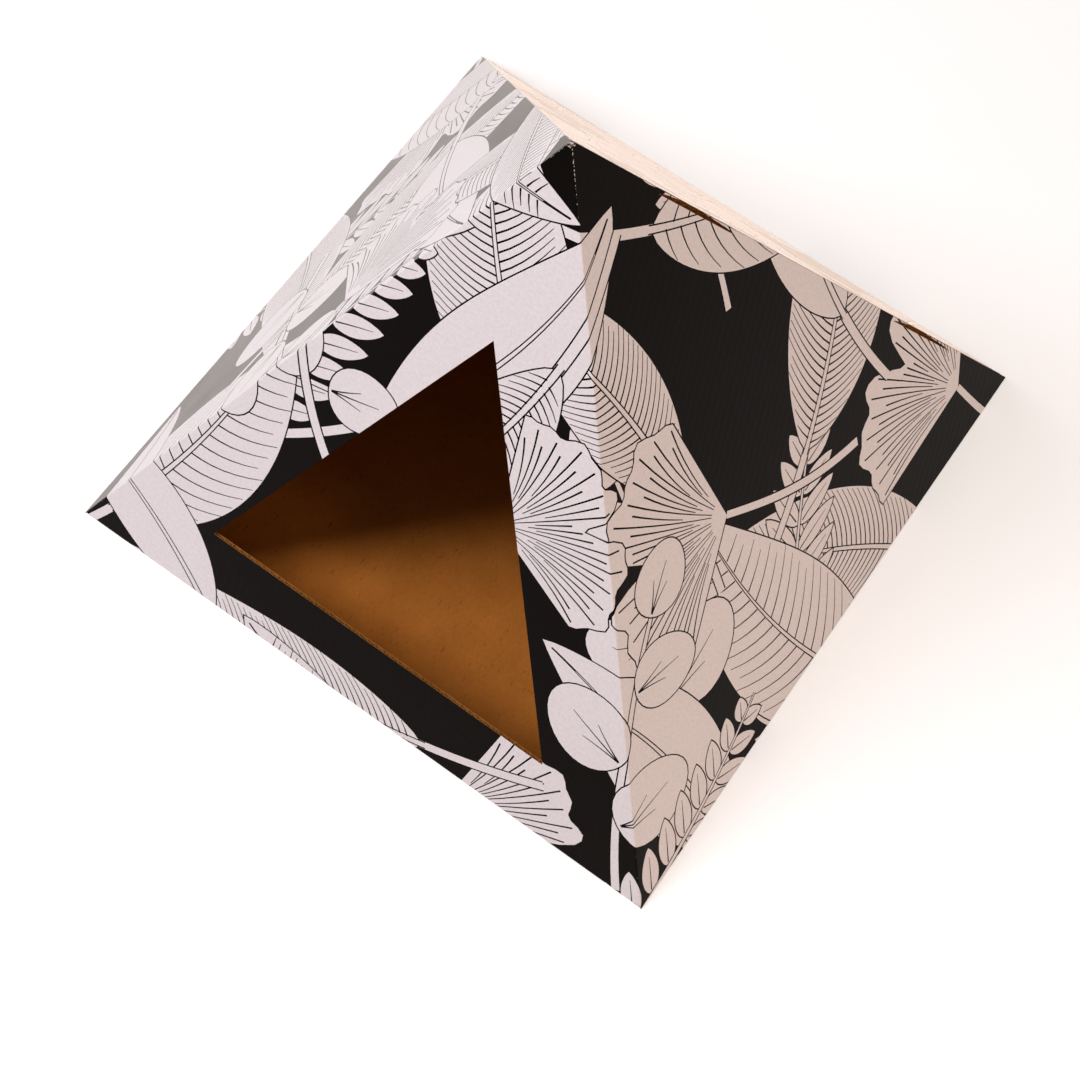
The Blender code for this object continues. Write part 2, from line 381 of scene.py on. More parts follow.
motifs = {
    "leaf": lambda size, bend: lensLeaf(size, 0.28 * size, bend, 1),
    "broadLeaf": lambda size, bend: lensLeaf(size, 0.42 * size, bend, 1),
    "plainLeaf": lambda size, bend: lensLeaf(size, 0.34 * size, bend, 0),
    "ribbedLeaf": lambda size, bend: lensLeaf(size, 0.38 * size, bend, 2.2),
    "fan": lambda size, bend: ginkgoFan(0.44 * size, 2.2 + 0.4 * bend, 0.55 * size),
    "fern": lambda size, bend: fernFrond(size, 0.36 * size, bend),
    "sprig": lambda size, bend: roundSprig(size, printLook["discSize"], bend),
}

# where each grows, from the back of the picture to its front: its kind, mm from the peak, degrees round it
# from the front wall's middle towards the right wall, degrees off the way up, size in mm, degrees of bend
plants = [
    # right wall
    ("leaf", 545, 66, 18, 320, 26),
    ("fern", 560, 44, -14, 300, -20),
    ("fan", 470, 78, 6, 260, 0),
    ("broadLeaf", 330, 62, -64, 240, 30),
    ("ribbedLeaf", 560, 55, 26, 290, -30),
    ("sprig", 420, 33, -8, 210, 22),
    ("plainLeaf", 300, 78, -20, 230, -34),
    ("leaf", 260, 42, 10, 250, 24),
    ("fan", 300, 48, 70, 250, 0),
    ("plainLeaf", 540, 36, 8, 250, 34),
    ("fern", 170, 70, -30, 190, 30),
    ("ribbedLeaf", 90, 66, -140, 230, 24),
    # front wall
    ("broadLeaf", 190, 14, 26, 230, -26),
    ("plainLeaf", 250, -12, -30, 240, 36),
    ("leaf", 140, 18, 150, 260, -30),
    ("fern", 330, -22, 18, 220, -26),
    ("fan", 262, 10, -66, 205, 0),
    ("ribbedLeaf", 500, -26, -6, 260, 22),
    ("fan", 505, 10, -84, 240, 0),
    ("leaf", 468, 7, 100, 270, -30),
    ("plainLeaf", 500, -14, 58, 200, 30),
    ("sprig", 500, 25, -2, 190, -22),
    ("fern", 560, 22, -60, 220, 24),
    ("broadLeaf", 600, 6, 34, 210, 20),
    # left wall
    ("fern", 545, -46, 14, 300, 24),
    ("leaf", 560, -60, -16, 320, -24),
    ("broadLeaf", 330, -44, 60, 240, -30),
    ("fan", 450, -76, -20, 270, 0),
    ("ribbedLeaf", 550, -70, 22, 300, 28),
    ("plainLeaf", 300, -70, -30, 250, 30),
    ("sprig", 390, -52, -52, 220, 26),
    ("leaf", 210, -54, 20, 230, -28),
    ("fan", 230, -34, 66, 230, 0),
    # back wall
    ("leaf", 550, -96, 16, 320, -26),
    ("broadLeaf", 540, -112, -20, 290, 26),
    ("fern", 545, -126, 12, 300, 22),
    ("fan", 460, -88, 30, 270, 0),
    ("plainLeaf", 330, -100, 60, 250, -30),
    ("ribbedLeaf", 310, -124, -30, 250, 30),
    ("sprig", 350, -108, 8, 220, -24),
    ("fan", 250, -116, -60, 240, 0),
    ("leaf", 190, -92, -24, 220, 26),
    ("fern", 170, -128, 20, 190, -26),
]


def growPlants():
    layers = []
    for kind, away, around, off, size, bend in plants:
        a = math.radians(around)
        root = np.array([math.sin(a), -math.cos(a)]) * away / 1000
        heading = math.radians(90 + around + off)
        for points, tone in motifs[kind](size / 1000, math.radians(bend)):
            layers.append((turned(points, heading, root), tone))
    return layers


# Materials. Noise scales are per metre of the blank.

filmLook = {
    "paper": ("#E2DBDE", "#E9E3E6"),
    "ink": ("#060302", "#0A0503"),
    "mottle": 420,
    "bare": "#CFC8C4",         # the paper where ink has come off a fold
    "cracks": 850,
    "crackShare": 0.45,        # what a fold adds to the cracks' noise
    "crackEdge": (0.86, 0.90),
    "scuffs": 35,
    "roughness": (0.13, 0.20),
    "fibres": 1600,
    "bloom": "#F2D6BA",
}
kraftLook = {
    "fibres": 1500,
    "fibreStretch": 0.16,
    "clouds": 26,
    "flecks": 700,
    "fleck": "#C9B8A0",
}


def addMaterial(name):
    material = bpy.data.materials.new(name)
    material.use_nodes = True
    material.node_tree.nodes.clear()
    return material, material.node_tree


def finish(tree, shader):
    addNode(tree, "ShaderNodeOutputMaterial", {}, {"Surface": shader.outputs["BSDF"]})


def sheetPlace(tree):
    # where a point lies on the blank, in metres
    return addNode(tree, "ShaderNodeUVMap", {"uv_map": "sheet"}).outputs["UV"]


def maths(tree, operation, a, b=None):
    # a and b are sockets or plain numbers
    node = addNode(tree, "ShaderNodeMath", {"operation": operation})
    for socket, value in zip(node.inputs, (a, b)):
        if isinstance(value, (int, float)):
            socket.default_value = value
        elif value is not None:
            tree.links.new(value, socket)
    return node.outputs["Value"]


def mixed(tree, factor, a, b, blend="MIX"):
    # a and b are hex colours or sockets
    node = addNode(tree, "ShaderNodeMix", {"data_type": "RGBA", "blend_type": blend}, {"Factor": factor})
    for name, colour in (("A", a), ("B", b)):
        if isinstance(colour, str):
            node.inputs[name].default_value = toLinear(colour)
        else:
            tree.links.new(colour, node.inputs[name])
    return node.outputs["Result"]


def noise(tree, place, scale, detail=2.0):
    node = addNode(tree, "ShaderNodeTexNoise", {}, {"Vector": place}, Scale=scale, Detail=detail)
    return node.outputs["Fac"]


def ranged(tree, value, low, high, toLow=0.0, toHigh=1.0):
    # low and high become the new limits, and what lies past them stops there
    node = addNode(tree, "ShaderNodeMapRange", {"clamp": True}, {"Value": value},
                   From_Min=low, From_Max=high, To_Min=toLow, To_Max=toHigh)
    return node.outputs["Result"]


def bumped(tree, height, strength, normal=None):
    # a relief of up to 0.1 mm, over another one where that is given
    links = {"Height": height} if normal is None else {"Height": height, "Normal": normal}
    return addNode(tree, "ShaderNodeBump", {}, links, Strength=strength, Distance=0.0001).outputs["Normal"]


def washboard(tree, place, strength):
    # the flutes showing faintly through the liner: the node's ridges lie pi / 10 / Scale apart
    ridges = math.pi / 10 / boardLook["flutePitch"]
    wave = addNode(tree, "ShaderNodeTexWave",
                   {"wave_type": "BANDS", "bands_direction": "X", "wave_profile": "SIN"}, {"Vector": place},
                   Scale=ridges, Distortion=0.25, Detail=1.0, Detail_Scale=6.0)
    return bumped(tree, wave.outputs["Fac"], strength)


def printedPaper(name, dark):
    # coated white paper under a satin film: a soft gloss, and a warm bloom on print and paper at a low angle
    material, tree = addMaterial(name)
    place = sheetPlace(tree)
    mottle = ranged(tree, noise(tree, place, filmLook["mottle"], 3.0), 0.35, 0.65)
    colour = mixed(tree, mottle, *filmLook["ink" if dark else "paper"])
    if dark:
        # ink rubbed off the fold: it cracks along the crease, most of all near the peak
        crease = addNode(tree, "ShaderNodeAttribute", {"attribute_name": "wear"}).outputs["Fac"]
        rubbed = maths(tree, "MULTIPLY", crease, filmLook["crackShare"])
        worn = maths(tree, "ADD", rubbed, noise(tree, place, filmLook["cracks"], 3.0))
        colour = mixed(tree, ranged(tree, worn, *filmLook["crackEdge"]), colour, filmLook["bare"])
    gloss = ranged(tree, noise(tree, place, filmLook["scuffs"], 6.0), 0.3, 0.7, *filmLook["roughness"])
    fibre = bumped(tree, noise(tree, place, filmLook["fibres"], 3.0), 0.06, washboard(tree, place, 0.25))
    finish(tree, addNode(
        tree, "ShaderNodeBsdfPrincipled", {}, {"Base Color": colour, "Roughness": gloss, "Normal": fibre},
        IOR=1.11, Sheen_Weight=0.6, Sheen_Roughness=0.25, Sheen_Tint=toLinear(filmLook["bloom"])))
    return material


def kraftPaper(name, light, deep, roughness=0.78):
    # unbleached liner: long brown fibres and darker flecks, dull, with the flutes showing through
    material, tree = addMaterial(name)
    place = sheetPlace(tree)
    along = addNode(tree, "ShaderNodeMapping", {}, {"Vector": place},
                    Scale=(1.0, kraftLook["fibreStretch"], 1.0)).outputs["Vector"]
    fibres = ranged(tree, noise(tree, along, kraftLook["fibres"], 5.0), 0.3, 0.7)
    clouds = ranged(tree, noise(tree, place, kraftLook["clouds"], 3.0), 0.3, 0.7)
    both = maths(tree, "MULTIPLY", maths(tree, "ADD", fibres, clouds), 0.5)
    flecks = ranged(tree, noise(tree, along, kraftLook["flecks"]), 0.66, 0.72)
    colour = mixed(tree, flecks, mixed(tree, both, deep, light), kraftLook["fleck"], "MULTIPLY")
    grain = bumped(tree, fibres, 0.25, washboard(tree, place, 0.5))
    finish(tree, addNode(
        tree, "ShaderNodeBsdfPrincipled", {}, {"Base Color": colour, "Normal": grain},
        Roughness=roughness, IOR=1.2))
    return material


paper = printedPaper("coated white paper under satin film", False)
ink = printedPaper("black ink on coated paper under satin film", True)
kraft = kraftPaper("unbleached kraft liner", "#B06C2A", "#94561B")
rawEdge = kraftPaper("die-cut edge of kraft liner", "#B97F3E", "#8A5422", 0.9)
medium = kraftPaper("recycled fluting", "#AE7A40", "#85562A", 0.9)
print("materials made")


# Boards: two liners and the fluting between them.

def fillRegion(loops, layers=(), lines=()):
    # triangles inside the first loop and outside the others, cut along the layers' outlines and the lines;
    # each triangle gets the tone of the last layer over it
    points, edges, faces, tones = [], [], [], []
    region = loops[0]
    sides = np.roll(region, -1, axis=0) - region
    axes = np.vstack([np.eye(2), -np.eye(2), np.stack([sides[:, 1], -sides[:, 0]], 1)])
    bounds = (region @ axes.T).max(0)
    for shape, tone in [(loop, None) for loop in loops] + list(layers):
        if ((shape @ axes.T).min(0) > bounds).any():
            continue
        if area(shape) < 0:
            shape = shape[::-1]
        faces.append(range(len(points), len(points) + len(shape)))
        points += [Vector(point) for point in shape]
        tones.append(tone)
    for a, b in lines:
        edges.append((len(points), len(points) + 1))
        points += [Vector(a), Vector(b)]
    outlines = [list(face) for face in faces]
    found, _, triangles, _, _, origins = delaunay_2d_cdt(points, edges, outlines, 1, 1e-7)
    kept, toned = [], []
    for triangle, origin in zip(triangles, origins):
        if 0 in origin and not any(hole in origin for hole in range(1, len(loops))):
            kept.append(triangle)
            toned.append(tones[max(origin)] or "ink")
    return np.array([tuple(p) for p in found]), kept, toned


def rimOf(triangles):
    # the edges that only one of the triangles has, each the way round that it goes there
    rim = {}
    for triangle in triangles:
        for i, j in zip(triangle, triangle[1:] + triangle[:1]):
            if rim.pop((j, i), None) is None:
                rim[i, j] = True
    return list(rim)


underCap = Vector((cadHigh[0], cadHigh[1], cadHigh[2] - 0.00015))


def sheetUV(shape):
    # the blank's own x and y as the map "sheet"
    layer = shape.loops.layers.uv.new("sheet")
    for face in shape.faces:
        for corner in face.loops:
            corner[layer].uv = corner.vert.co.xy


def fold(shape, board, name):
    # a mesh drawn on the blank, put where the folded board is, kept within the house's outermost planes
    mesh = bpy.data.meshes.new(name)
    shape.transform(board.toSheet.inverted())
    for vert in shape.verts:
        vert.co = [min(max(c, low), high) for c, low, high in zip(vert.co, cadLow, underCap)]
    shape.to_mesh(mesh)
    shape.free()
    return mesh


def inside(outline, point):
    # seen from a point inside, the outline goes all the way round
    x, y = (np.vstack([outline, outline[:1]]) - np.array(point)).T
    turns = np.diff(np.arctan2(y, x))
    return abs((turns - math.tau * np.round(turns / math.tau)).sum()) > 3


def outerLiner(board, layers, printed):
    # the board's outermost layer: a slice of its solid whose face carries the print; torn parts are left out
    gone = [outline for outline, tone in layers if tone == "gone"]
    shape = board.solid()
    rim = board.cut(shape, -boardLook["liner"], True)
    base = bmesh.ops.triangle_fill(shape, edges=rim, use_beauty=True, normal=(0, 0, -1))
    for face in base["geom"]:
        if isinstance(face, bmesh.types.BMFace):
            face.material_index = 2
    shape.normal_update()
    for face in list(shape.faces):
        # the print takes the top's place, and the strip over the crease that of the rounding beside it
        if board.isTop(face) or 0.2 < face.normal.z < 0.9995:
            shape.faces.remove(face)
        elif abs(face.normal.z) < 0.9:
            face.material_index = 3
            a, b = max((edge.verts for edge in face.edges), key=lambda ends: (ends[0].co - ends[1].co).length)
            if any(inside(outline, a.co.lerp(b.co, t).xy) for outline in gone for t in (0.08, 0.92)):
                shape.faces.remove(face)
    bmesh.ops.delete(shape, geom=[e for e in shape.edges if not e.link_faces], context="EDGES")
    points, triangles, tones = fillRegion(board.face(0), layers)
    verts = [shape.verts.new((x, y, 0)) for x, y in points]
    for triangle, tone in zip(triangles, tones):
        if tone != "gone":
            face = shape.faces.new([verts[i] for i in triangle])
            face.material_index = (1 if tone == "ink" else 0) if printed else 2
    bmesh.ops.delete(shape, geom=[v for v in shape.verts if not v.link_faces], context="VERTS")
    sheetUV(shape)
    mesh = fold(shape, board, board.node + "_outer_liner")
    for material in (paper, ink, kraft, rawEdge):
        mesh.materials.append(material)
    return mesh


def innerLiner(board):
    shape = board.solid()
    rim = board.cut(shape, boardLook["liner"] - boardLook["thickness"], False)
    bmesh.ops.triangle_fill(shape, edges=rim, use_beauty=True, normal=(0, 0, 1))
    shape.normal_update()
    for face in shape.faces:
        face.material_index = 0 if abs(face.normal.z) > 0.9 else 1
    sheetUV(shape)
    mesh = fold(shape, board, board.node + "_inner_liner")
    mesh.materials.append(kraft)
    mesh.materials.append(rawEdge)
    return mesh


def fluteTree():
    # one wave per pitch: the flat strips rise and fall with x, then get their thickness
    tree = bpy.data.node_groups.new("fluted medium", "GeometryNodeTree")
    number = "NodeSocketFloat"
    for name, kind in (("Strips", "NodeSocketGeometry"), ("Pitch", number), ("Height", number),
                       ("Thickness", number), ("Depth", number), ("Material", "NodeSocketMaterial")):
        tree.interface.new_socket(name, in_out="INPUT", socket_type=kind)
    tree.interface.new_socket("Flutes", in_out="OUTPUT", socket_type="NodeSocketGeometry")
    given = tree.nodes.new("NodeGroupInput").outputs

    place = addNode(tree, "GeometryNodeInputPosition").outputs["Position"]
    x = addNode(tree, "ShaderNodeSeparateXYZ", {}, {"Vector": place}).outputs["X"]
    wave = maths(tree, "SINE", maths(tree, "MULTIPLY", maths(tree, "DIVIDE", x, given["Pitch"]), math.tau))
    room = maths(tree, "SUBTRACT", given["Height"], given["Thickness"])
    swing = maths(tree, "MULTIPLY", wave, maths(tree, "MULTIPLY", room, 0.5))
    centre = maths(tree, "SUBTRACT", swing, given["Depth"])
    lower = maths(tree, "SUBTRACT", centre, maths(tree, "MULTIPLY", given["Thickness"], 0.5))
    offset = addNode(tree, "ShaderNodeCombineXYZ", {}, {"Z": lower}).outputs["Vector"]
    moved = addNode(tree, "GeometryNodeSetPosition", {}, {"Geometry": given["Strips"], "Offset": offset})
    strips = moved.outputs["Geometry"]
    upward = addNode(tree, "ShaderNodeCombineXYZ", {}, {"Z": given["Thickness"]}).outputs["Vector"]
    raised = addNode(tree, "GeometryNodeExtrudeMesh", {"mode": "FACES"}, {"Mesh": strips, "Offset": upward},
                     Individual=False)
    under = addNode(tree, "GeometryNodeFlipFaces", {}, {"Mesh": strips}).outputs["Mesh"]
    joined = addNode(tree, "GeometryNodeJoinGeometry", {}, {"Geometry": raised.outputs["Mesh"]})
    tree.links.new(under, joined.inputs["Geometry"])
    welded = addNode(tree, "GeometryNodeMergeByDistance", {}, {"Geometry": joined.outputs["Geometry"]},
                     Distance=1e-6)
    real = addNode(tree, "GeometryNodeRealizeInstances", {}, {"Geometry": welded.outputs["Geometry"]})
    painted = addNode(tree, "GeometryNodeSetMaterial", {},
                      {"Geometry": real.outputs["Geometry"], "Material": given["Material"]})
    addNode(tree, "NodeGroupOutput", {}, {"Flutes": painted.outputs["Geometry"]})
    return tree


flutes = fluteTree()


def flutedMedium(board):
    # the waved layer between the liners; its flutes run along y on the blank
    span = boardLook["thickness"] - 2 * boardLook["liner"]
    # cut to the mitred board's outline just above the inner liner, where it is smallest
    loops = board.outline(boardLook["thickness"] - boardLook["liner"] - 0.0001)
    low, high = loops[0].min(0), loops[0].max(0)
    step = boardLook["flutePitch"] / boardLook["fluteSteps"]
    cuts = np.arange(math.ceil(low[0] / step), math.floor(high[0] / step) + 1) * step
    points, triangles, _ = fillRegion(loops, (), [((x, low[1] - 0.01), (x, high[1] + 0.01)) for x in cuts])
    strips = bpy.data.meshes.new("strips")
    strips.from_pydata([(x, y, 0) for x, y in points], [], triangles)
    holder = bpy.data.objects.new("strips", strips)
    bpy.context.scene.collection.objects.link(holder)
    live = holder.modifiers.new("flutes", "NODES")
    live.node_group = flutes
    values = {"Pitch": boardLook["flutePitch"], "Height": span, "Thickness": boardLook["medium"],
              "Depth": boardLook["thickness"] / 2, "Material": medium}
    for socket in flutes.interface.items_tree:
        if socket.in_out == "INPUT" and socket.name in values:
            live[socket.identifier] = values[socket.name]
    seen = bpy.context.evaluated_depsgraph_get()
    waved = bpy.data.meshes.new_from_object(holder.evaluated_get(seen), depsgraph=seen)
    shape = bmesh.new()
    shape.from_mesh(waved)
    holder.modifiers.clear()
    bpy.data.objects.remove(holder)
    sheetUV(shape)
    mesh = fold(shape, board, board.node + "_flutes")
    mesh.materials.append(medium)
    bpy.data.meshes.remove(strips)
    bpy.data.meshes.remove(waved)
    return mesh


# what counts as a board's edge beside its crease: how long it is, how far aslant and how far off it may be
edgeFit = {
    "length": 0.004,
    "slant": 0.02,
    "away": 0.009,
    "step": 0.0003,
}


class Crease:
    # one crease: its line and the way across it on the blank, and its turn in the folded house
    def __init__(self, joint):
        self.name = joint["name"]
        self.a, self.b = boards[joint["parent"]], boards[joint["child"]]
        self.pivot, self.axis = Vector(joint["pos_m"]), Vector(joint["axis"]).normalized()
        self.line = self.a.toSheet @ self.pivot
        self.line.z = 0
        self.along = (self.a.toSheet.to_3x3() @ self.axis).normalized()
        self.across = self.along.cross(Vector((0, 0, 1)))
        beyond = sum((Vector((*p, 0)) - self.line).dot(self.across) for p in self.b.face(0)[0])
        self.across *= math.copysign(1, beyond)
        self.halfTurn = self.a.normal.angle(self.b.normal) / 2
        self.middle = (self.a.normal + self.b.normal).normalized()
        self.axle = self.a.normal.cross(self.b.normal).normalized()

    def place(self, s, u):
        # on the blank, s along the crease and u across it
        return self.line + self.along * s + self.across * u

    def beside(self, board, level):
        # where the board's flat face at this level starts: its span along the crease, and how far off it is
        side = 1 if board is self.b else -1
        found = []
        for loop in board.face(level):
            for p, q in zip(loop, np.roll(loop, -1, axis=0)):
                p, q = Vector((*p, 0)) - self.line, Vector((*q, 0)) - self.line
                off = ((p + q) / 2).dot(self.across) * side
                slant = (q - p).normalized().cross(self.along).length
                straight = (q - p).length > edgeFit["length"] and slant < edgeFit["slant"]
                if straight and 0 < off < edgeFit["away"]:
                    found.append((off, p.dot(self.along), q.dot(self.along)))
        nearest = min(found)[0]
        spans = [span for off, *span in found if off < nearest + edgeFit["step"]]
        return min(map(min, spans)), max(map(max, spans)), nearest

    def both(self, level):
        lowA, highA, offA = self.beside(self.a, level)
        lowB, highB, offB = self.beside(self.b, level)
        return max(lowA, lowB), min(highA, highB), offA, offB


# Slits: the wall's outer liner tears off each lock tab along a ragged line, and leaves a lip at each end.

lipLook = {
    "setBack": 0.0028,    # from the seam to a lock tab's crease
    "sideGap": 0.0005,
    "upper": 0.020,
    "lower": 0.034,
    "curve": 1.7,
    "ragged": 0.00016,
    "clear": 0.0002,
}


def lip(crease, end, low, high):
    # the outline on the blank of the lip at one end of a tab: full width there, thin where it runs out
    chance = random.Random(crease.name + end)
    far = lipLook["setBack"] - lipLook["clear"]
    t = np.linspace(0, 1, 22)
    ends = sorted((low, high), key=lambda s: np.linalg.norm(np.array(crease.place(s, 0).xy) - peak))
    start, other = ends if end == "upper" else ends[::-1]
    inward = math.copysign(1, other - start)
    free = [crease.place(start + inward * lipLook[end] * (1 - k), far * (1 - k) ** (1 / lipLook["curve"])
                         + lipLook["ragged"] * chance.uniform(-1, 1) * (0 < k < 1)).xy for k in t]
    outline = np.array([crease.place(start, far).xy] + free)
    return outline if area(outline) > 0 else outline[::-1]


def flatScrap(outline, layers, board, name):
    # a scrap of printed liner in the board's outermost plane
    points, triangles, tones = fillRegion([outline], layers)
    shape = bmesh.new()
    under = lipLook["clear"] / 2 - boardLook["liner"]
    top, base = [[shape.verts.new((x, y, z)) for x, y in points] for z in (0, under)]
    for triangle, tone in zip(triangles, tones):
        shape.faces.new([top[i] for i in triangle]).material_index = ("paper", "ink").index(tone)
        shape.faces.new([base[i] for i in triangle[::-1]]).material_index = 2
    for i, j in rimOf(triangles):
        shape.faces.new((top[j], top[i], base[i], base[j])).material_index = 3
    sheetUV(shape)
    mesh = fold(shape, board, name)
    for material in (paper, ink, kraft, rawEdge):
        mesh.materials.append(material)
    return mesh


creases = [Crease(joint) for joint in frame["joints"]]
layers = [(outline + peak, tone) for outline, tone in growPlants()]
print("print drawn: %d outlines" % len(layers))
torn = {}
for crease in creases:
    if "lock_tab" in crease.name:
        low, high, _, _ = crease.both(0)
        low, high = low - lipLook["sideGap"], high + lipLook["sideGap"]
        torn[crease.b.node] = []
        for end in ("upper", "lower"):
            outline = lip(crease, end, low, high)
            name = "%s_lip_%s" % (crease.b.node, end)
            addPiece(name, flatScrap(outline, layers, crease.a, name), "printed_board", crease.a.body)
            torn[crease.b.node].append(grown(outline, lipLook["clear"]))
for board in boards.values():
    printed = board.node.endswith("_panel") and board.node != "floor_panel"
    slot = "printed_board" if printed else "kraft_board"
    marks = layers if printed else [(outline, "gone") for outline in torn.get(board.node, ())]
    liner = addPiece(board.node + "_outer_liner", outerLiner(board, marks, printed), slot, board.body)
    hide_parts(board.node)
    addPiece(board.node + "_inner_liner", innerLiner(board), "kraft_board", board.body)
    addPiece(board.node + "_flutes", flutedMedium(board), "kraft_board", board.body)
    print("board %s: %d faces outside" % (board.node, len(liner.data.polygons)))


# Creases: the liners run on from one board to the next.

creaseLook = {
    "facets": 8,
    "innerRows": 4,
    "wearLength": 0.028,    # how far down from the peak the ink is rubbed off the folds
    "wearElsewhere": 0.52,
}


def bentLiner(crease, layers, printed):
    # the outer liner bends round on an arc that leaves each board where its flat face ends
    low, high, offA, offB = crease.both(0)
    reach = max(offA, offB)
    radius = reach / math.tan(crease.halfTurn)
    centre = crease.pivot - crease.middle * (radius / math.cos(crease.halfTurn))
    corners = ((low, -reach), (low, reach), (high, reach), (high, -reach))
    region = np.array([crease.place(s, u).xy for s, u in corners])
    region = region if area(region) > 0 else region[::-1]
    steps = np.linspace(-reach, reach, creaseLook["facets"] + 1)[1:-1]
    lines = [(crease.place(low - 0.001, u).xy, crease.place(high + 0.001, u).xy) for u in steps]
    points, triangles, tones = fillRegion([region], layers if printed else (), lines)

    shape = bmesh.new()
    uvLayer = shape.loops.layers.uv.new("sheet")
    wearLayer = shape.verts.layers.float.new("wear")

    def put(x, y, depth):
        off = Vector((x, y, 0)) - crease.line
        s, u = off.dot(crease.along), max(-1.0, min(1.0, off.dot(crease.across) / reach))
        turn = Matrix.Rotation(u * crease.halfTurn, 3, crease.axle)
        co = centre + crease.axis * s + turn @ crease.middle * (radius - depth)
        if abs(crease.axis.z) > 0.1:
            # a crease that climbs is cut off level at the tip and at the foot
            over = max(co.z - underCap.z, 0) + min(co.z, 0)
            co -= crease.axis * (over / crease.axis.z)
        vert = shape.verts.new([min(max(c, l), h) for c, l, h in zip(co, cadLow, underCap)])
        nearPeak = max(0.0, 1 - math.hypot(x - peak[0], y - peak[1]) / creaseLook["wearLength"])
        rubbed = creaseLook["wearElsewhere"] + (1 - creaseLook["wearElsewhere"]) * nearPeak
        vert[wearLayer] = (1 - abs(u)) * rubbed if printed else 0
        return vert

    skins = [[put(x, y, depth) for x, y in points] for depth in (0, boardLook["liner"])]
    for triangle, tone in zip(triangles, tones):
        for k, order in enumerate((triangle, triangle[::-1])):
            face = shape.faces.new([skins[k][i] for i in order])
            face.smooth = True
            face.material_index = 2 if k or not printed else ("paper", "ink").index(tone)
            for loop, i in zip(face.loops, order):
                loop[uvLayer].uv = points[i]
    for i, j in rimOf(triangles):
        face = shape.faces.new((skins[0][j], skins[0][i], skins[1][i], skins[1][j]))
        face.material_index = 2
        for loop, k in zip(face.loops, (j, i, i, j)):
            loop[uvLayer].uv = points[k]
        for edge in face.edges:
            edge.smooth = False
    shape.normal_update()
    if sum(face.normal.dot(crease.middle) for face in list(shape.faces)[:2 * len(triangles):2]) < 0:
        bmesh.ops.reverse_faces(shape, faces=shape.faces[:])
    mesh = bpy.data.meshes.new(crease.name + "_outer_liner")
    shape.to_mesh(mesh)
    shape.free()
    for material in (paper, ink, kraft):
        mesh.materials.append(material)
    middle = (low + high) / 2
    ends = [board.toSheet.inverted() @ crease.place(middle, off)
            for board, off in ((crease.a, -offA), (crease.b, offB))]
    return mesh, ends


def crushedLiner(crease):
    # the inner liner: a fine line over the crease while the house is folded
    low, high, offA, offB = crease.both(-boardLook["thickness"])
    rows = np.linspace(0, 1, creaseLook["innerRows"] + 1)
    verts, flat = [], []
    for depth in (boardLook["thickness"], boardLook["thickness"] - boardLook["liner"]):
        down = Vector((0, 0, depth))
        edges = [[board.toSheet.inverted() @ (crease.place(s, off) - down) for s in (low, high)]
                 for board, off in ((crease.a, -offA), (crease.b, offB))]
        verts += [p.lerp(q, t) for t in rows for p, q in zip(*edges)]
        flat += [crease.place(s, -offA + (offA + offB) * t).xy for t in rows for s in (low, high)]
    count = 2 * len(rows)
    faces = [(i, i + 1, i + 3, i + 2) for i in range(0, count - 2, 2)]
    faces += [tuple(i + count for i in face[::-1]) for face in faces]
    faces += [(i + 2, i, i + count, i + 2 + count) for i in range(0, count - 2, 2)]
    faces += [(i + 1, i + 3, i + 3 + count, i + 1 + count) for i in range(0, count - 2, 2)]
    faces += [(1, 0, count, count + 1)[::-1], (count - 2, count - 1, 2 * count - 1, 2 * count - 2)[::-1]]
    shape = bmesh.new()
    corners = [shape.verts.new(vert) for vert in verts]
    uvLayer = shape.loops.layers.uv.new("sheet")
    for face in faces:
        for loop, i in zip(shape.faces.new([corners[i] for i in face]).loops, face):
            loop[uvLayer].uv = flat[i]
    bmesh.ops.recalc_face_normals(shape, faces=shape.faces[:])
    mesh = bpy.data.meshes.new(crease.name + "_inner_liner")
    shape.to_mesh(mesh)
    shape.free()
    mesh.materials.append(kraft)
    return mesh, [verts[0], verts[count - 2]]


for crease in creases:
    printed = crease.name in ("right_fold", "left_fold", "back_fold", "floor_fold")
    slot = "printed_board" if printed else "kraft_board"
    outer, inner = bentLiner(crease, layers, printed), crushedLiner(crease)
    for (mesh, ends), slot in ((outer, slot), (inner, "kraft_board")):
        strip = addPiece(mesh.name, mesh, slot)
        tuple(ends[0])
        tuple(ends[1])
        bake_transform(strip)
    print("crease %s: inner liner crosses %.2f mm" % (crease.name, 1000 * (ends[1] - ends[0]).length))


capLook = {
    "corners": 24,
    "rows": ((0.0016, 1.02), (0.0006, 1.0), (0.0002, 0.75)),    # metres below the tip, share of the width
    "square": 0.72,
    "wear": 0.85,
}


